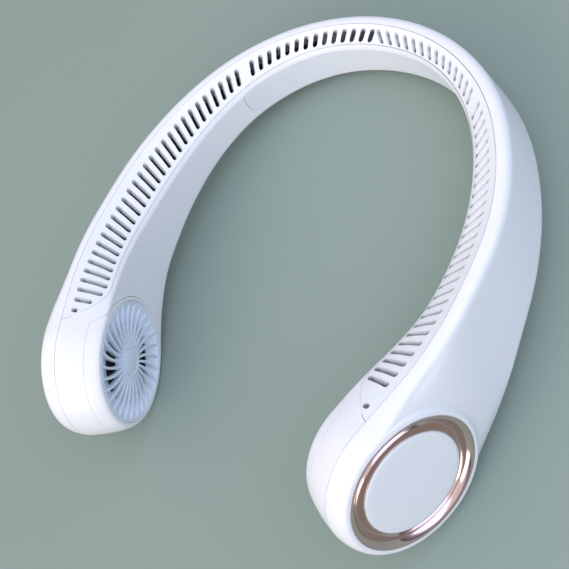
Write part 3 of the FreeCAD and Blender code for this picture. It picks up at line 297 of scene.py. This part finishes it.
def turned(name, profile):
    """Piece turned round its axis: a circle extruded and resized along a closed profile."""
    bpy.ops.object.select_all(action="DESELECT")
    radius, height = profile[0]
    bpy.ops.mesh.primitive_circle_add(vertices=ROUND, radius=radius * MM)
    piece = bpy.context.object
    piece.name = piece.data.name = name
    bpy.ops.object.mode_set(mode="EDIT")
    bpy.ops.mesh.select_all(action="SELECT")
    bpy.ops.transform.translate(value=(0, 0, height * MM))
    for next_radius, next_height in profile[1:]:
        rise = (next_height - height) * MM
        wider = next_radius / radius
        bpy.ops.mesh.extrude_region_move(TRANSFORM_OT_translate={"value": (0, 0, rise)})
        bpy.ops.transform.resize(value=(wider, wider, 1), center_override=(0, 0, next_height * MM))
        radius, height = next_radius, next_height
    bpy.ops.mesh.select_all(action="SELECT")
    bpy.ops.mesh.remove_doubles(threshold=0.01 * MM)
    bpy.ops.mesh.normals_make_consistent(inside=False)
    bpy.ops.object.mode_set(mode="OBJECT")
    return piece


SHARP = math.radians(28)
SMOOTH = math.radians(32)


def softened(piece, width, segments=3):
    """Breaks the sharp edges with small rounds and shades the rest smoothly."""
    bpy.ops.object.select_all(action="DESELECT")
    piece.select_set(True)
    bpy.context.view_layer.objects.active = piece
    bevel = piece.modifiers.new("edges", "BEVEL")
    bevel.width = width * MM
    bevel.segments = segments
    bevel.limit_method = "ANGLE"
    bevel.angle_limit = SHARP
    bpy.ops.object.modifier_apply(modifier=bevel.name)
    bpy.ops.object.shade_smooth_by_angle(angle=SMOOTH)


def arc(start, stop, radius, way, count=8):
    """Points of a circular arc after its start, bulging to one side of its chord."""
    chord = Vector(stop) - Vector(start)
    across = Vector((-chord.y, chord.x)).normalized() * way
    middle = (Vector(start) + Vector(stop)) / 2
    centre = middle - across * math.sqrt(radius ** 2 - (chord.length / 2) ** 2)
    first = Vector(start) - centre
    angle = 2 * math.asin(chord.length / 2 / radius)
    points = []
    for step in range(1, count + 1):
        turn = -way * angle * step / count
        cosine, sine = math.cos(turn), math.sin(turn)
        points.append((centre.x + first.x * cosine - first.y * sine,
                       centre.y + first.x * sine + first.y * cosine))
    return points


def set_in_pod(piece, side):
    """Moves a piece modelled on the Z axis to its pod, the axis pointing inwards."""
    axis = POD_AXIS[side]
    across = Vector((0, 0, 1)).cross(axis).normalized()
    turn = Matrix((across, axis.cross(across), axis)).transposed().to_4x4()
    piece.data.transform(Matrix.Translation(POD_PLACE[side]) @ turn)


RING_ROLL = 4.0
ring_profile = [(26.9, 0.0), (27.1, 0.25), (27.1, 5.6), (15.0, 5.6), (15.0, 4.4), (20.5, 4.4), (20.5, 0.9),
                (20.9, 0.9)]
ring_profile += arc((20.9, 0.9), (22.7, 3.7), RING_ROLL, 1)
ring_profile += arc((22.7, 3.7), (24.2, 2.0), RING_ROLL, 1)
ring_profile += arc((24.2, 2.0), (26.2, 0.0), RING_ROLL, -1)
ring_profile += [ring_profile[0]]
for side in SIDES:
    ring_finish, shader, place = finish(f"rose_metal_{side}", Metallic=1.0)
    spread = place.node("VectorMath", {"operation": "DISTANCE"}, {0: place, 1: POD_PLACE[side]}, "Value")
    turning = spread.node("TexNoise", {"noise_dimensions": "1D"}, {
        "W": spread, "Scale": 5200.0, "Detail": 2.0})
    haze = cloud(place, 60.0)
    blend(haze, paint(236, 210, 206), paint(226, 197, 192)).into(shader, "Base Color")
    (turning * 0.05 + haze * 0.04 + 0.09).into(shader, "Roughness")
    relief(turning, 0.05, 0.02 * MM).into(shader, "Normal")
    ring = turned(f"rose_ring_{side}", ring_profile)
    set_in_pod(ring, side)
    softened(ring, 0.15)
    ring.data.materials.append(ring_finish)
    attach(ring, "casing")
    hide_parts(f"trim_ring_{side}")

# Cap discs: pearl-white lacquered discs pressed onto the rings' floors, their faces
# a very shallow dome with a rounded edge.
POLE = 0.005
disc_profile = [(POLE, 0.22), (8.0, 0.24), (14.0, 0.29), (18.0, 0.35), (19.7, 0.42), (20.2, 0.55),
                (20.4, 0.9), (20.4, 4.38), (18.9, 4.38), (18.9, 2.4), (POLE, 2.4)]
disc_finish, shader, place = finish("pearl_lacquer", Coat_Weight=0.5, Coat_Roughness=0.08)
pearl = cloud(place, 3800.0, 3.0)
drift = cloud(place, 22.0)
tone = blend(drift, paint(250, 248, 250), paint(244, 244, 250))
blend(pearl * 0.3, tone, paint(234, 235, 244)).into(shader, "Base Color")
(pearl * 0.12 + 0.22).into(shader, "Roughness")
relief(pearl, 0.06, 0.02 * MM).into(shader, "Normal")
for side in SIDES:
    disc = turned(f"pearl_disc_{side}", disc_profile)
    set_in_pod(disc, side)
    softened(disc, 0.1)
    disc.data.materials.append(disc_finish)
    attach(disc, "casing")
    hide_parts(f"cap_disc_{side}")

# Intake grilles: lavender plastic discs pressed into the pod covers. A hub with a ring
# groove and a stepped rim carry 28 thin swirled vanes over two sloping collars.
VANES = 28
VANE_THICK = 1.1
VANE_TOP = 26.35
VANE_LOW = 23.8
VANE_ROOT = (6.2, 0.0)
VANE_TIP = (24.7, -3.4)
VANE_CURVE = 30.0
hub_profile = [(POLE, 26.4), (5.2, 26.4), (5.4, 26.1), (5.7, 26.1), (5.9, 26.4), (7.0, 26.4), (7.4, 26.2),
               (7.5, 25.9), (9.7, 24.1), (9.6, 23.7), (7.2, 24.9), (POLE, 24.8)]
rim_profile = [(25.85, 24.75), (25.85, 26.45), (25.2, 26.45), (25.05, 26.2), (24.8, 26.2), (24.65, 26.4),
               (24.3, 26.4), (24.1, 26.0), (17.8, 24.0), (17.9, 23.6), (24.5, 24.9), (25.85, 24.75)]


def swirled_vane(name):
    """One vane: a block whose outer face is extruded along a shallow arc."""
    bpy.ops.object.select_all(action="DESELECT")
    bpy.ops.mesh.primitive_cube_add(size=1)
    vane = bpy.context.object
    vane.name = vane.data.name = name
    tall = VANE_TOP - VANE_LOW
    bpy.ops.object.mode_set(mode="EDIT")
    bpy.ops.mesh.select_all(action="SELECT")
    bpy.ops.transform.resize(value=(0.2 * MM, VANE_THICK * MM, tall * MM), center_override=(0, 0, 0))
    bpy.ops.transform.translate(value=(VANE_ROOT[0] * MM, 0, (VANE_TOP + VANE_LOW) / 2 * MM))
    bpy.ops.object.mode_set(mode="OBJECT")
    for group in (vane.data.vertices, vane.data.edges, vane.data.polygons):
        group.foreach_set("select", [False] * len(group))
    for face in vane.data.polygons:
        face.select = face.normal.x > 0.9
    bpy.ops.object.mode_set(mode="EDIT")
    bpy.ops.mesh.select_mode(type="FACE")
    here = VANE_ROOT
    for there in arc(VANE_ROOT, VANE_TIP, VANE_CURVE, 1):
        step = ((there[0] - here[0]) * MM, (there[1] - here[1]) * MM, 0)
        bpy.ops.mesh.extrude_region_move(TRANSFORM_OT_translate={"value": step})
        here = there
    bpy.ops.mesh.select_all(action="SELECT")
    bpy.ops.mesh.normals_make_consistent(inside=False)
    bpy.ops.object.mode_set(mode="OBJECT")
    softened(vane, 0.18, 2)
    return vane


grille_finish = moulded("grille_lavender", paint(232, 238, 251), paint(226, 233, 249), 0.34, 0.15)
hub = turned("grille_left", hub_profile)
rim = turned("rim", rim_profile)
softened(hub, 0.12, 2)
softened(rim, 0.12, 2)
vane = swirled_vane("vane")
vanes = [vane]
for number in range(1, VANES):
    copy = bpy.data.objects.new(f"vane_{number}", vane.data.copy())
    copy.data.transform(Matrix.Rotation(2 * math.pi * number / VANES, 4, "Z"))
    bpy.context.scene.collection.objects.link(copy)
    vanes.append(copy)
bpy.ops.object.select_all(action="DESELECT")
for part in [hub, rim] + vanes:
    part.select_set(True)
bpy.context.view_layer.objects.active = hub
bpy.ops.object.join()
set_in_pod(hub, "left")
mirrored = bpy.data.objects.new("grille_right", hub.data.copy())
mirrored.data.transform(Matrix.Scale(-1, 4, (1, 0, 0)))
mirrored.data.flip_normals()
bpy.context.scene.collection.objects.link(mirrored)
for side, grille in zip(SIDES, (hub, mirrored)):
    grille.data.materials.append(grille_finish)
    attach(grille, "casing")
    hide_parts(f"intake_grille_{side}")

# Floor: a plain matt grey-green sheet, on which the fan lies.
# It is far wider than the fan, so that its edge stays out of the photograph's view.
bpy.ops.object.select_all(action="DESELECT")
bpy.ops.mesh.primitive_plane_add(size=60)
ground = bpy.context.object
ground.name = "floor"
ground_finish, shader, place = finish("floor_matt", Roughness=0.85)
blend(cloud(place, 3.0), paint(145, 160, 151), paint(139, 154, 145)).into(shader, "Base Color")
ground.data.materials.append(ground_finish)

# Studio light: a warm soft box high in front on the left, a large one far in front, a cool
# fill on the right, and a pale room that is darker towards its floor.
room = bpy.data.worlds.new("studio")
room.use_nodes = True
backdrop = room.node_tree.nodes["Background"]
backdrop.inputs["Strength"].default_value = 1.0
look = Wire(room.node_tree, room.node_tree.nodes.new("ShaderNodeTexCoord").outputs["Generated"])
rise = look.node("SeparateXYZ", {}, {"Vector": look}, "Z")
look.node("ValToRGB", {"stops": [
    (0.0, (0.06, 0.06, 0.07, 1.0)),
    (0.24, (0.26, 0.26, 0.31, 1.0)),
    (0.46, (0.78, 0.77, 0.79, 1.0)),
]}, {"Fac": rise}).into(backdrop, "Color")
bpy.context.scene.world = room
bpy.context.scene.view_settings.view_transform = "Standard"


def soft_box(name, place, aim, width, power, colour):
    """Rectangular light aimed at a point."""
    lamp = bpy.data.lights.new(name, "AREA")
    lamp.size = width
    lamp.energy = power
    lamp.color = colour
    box = bpy.data.objects.new(name, lamp)
    box.location = place
    box.rotation_euler = (Vector(aim) - Vector(place)).to_track_quat("-Z", "Y").to_euler()
    bpy.context.scene.collection.objects.link(box)


soft_box("key_box", place=(-0.60, -0.75, 1.00), aim=(0.0, 0.0, 0.03), width=1.8, power=2.2,
         colour=(1.0, 0.95, 0.88))
soft_box("front_box", place=(-0.15, -2.4, 0.90), aim=(0.0, 0.1, 0.03), width=2.4, power=36.0,
         colour=(1.0, 0.98, 0.97))
soft_box("fill_box", place=(0.45, 0.16, 0.62), aim=(-0.06, 0.0, 0.03), width=0.9, power=3.2,
         colour=(0.50, 0.68, 1.0))

# Camera: at the photograph's place and angle, high on the right of the fan.
# Its lens and turn come from matching the band and the pods to the photograph.
CAMERA_PLACE = (0.2621, -0.07287765, 0.39122107)
CAMERA_TURN = (20.121402, 30.964510, 23.368200)
lens = bpy.data.cameras.new("view")
lens.lens = 71.74
lens.sensor_width = 36.0
camera = bpy.data.objects.new("view", lens)
camera.location = CAMERA_PLACE
camera.rotation_euler = [math.radians(angle) for angle in CAMERA_TURN]
bpy.context.scene.collection.objects.link(camera)
bpy.context.scene.camera = camera
